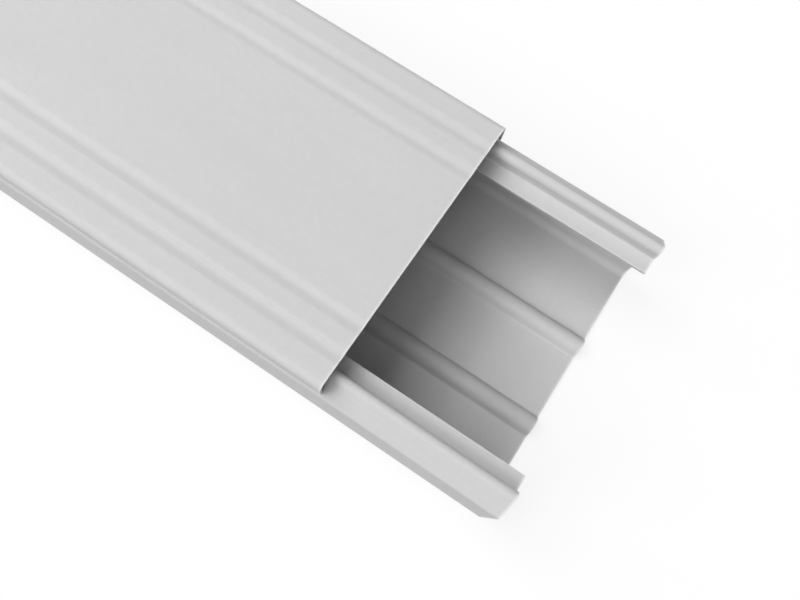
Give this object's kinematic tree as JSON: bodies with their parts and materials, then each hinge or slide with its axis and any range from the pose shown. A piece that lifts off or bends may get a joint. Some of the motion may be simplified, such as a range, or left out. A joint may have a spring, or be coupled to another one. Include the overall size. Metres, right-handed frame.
{
  "type": "steel surface raceway with clip-on cover",
  "caption": "Long shallow steel channel with turned-in lips and floor beads, closed by a grooved clip-on cover slid back from one end; it hides cords along a wall or floor.",
  "frame": {"origin": "middle of the base channel's flat back, halfway along it and halfway across it, on the surface it is fixed to", "axes": "+X along the stock towards the end that the cover leaves bare; +Y across it; +Z away from the wall or floor, out through the cover"},
  "size_m": [1.5954, 0.1206, 0.0444],
  "materials": {
    "base_paint": "satin light grey enamel",
    "cover_paint": "satin light grey enamel"
  },
  "bodies": {
    "base": {"base_channel": "base_paint"},
    "cover": {"cover": "cover_paint"}
  },
  "joints": [
    {"name": "cover_slide", "type": "slide", "parent": "base", "child": "cover", "axis": [1, 0, 0], "range_m": [0, 0.0714]}
  ]
}
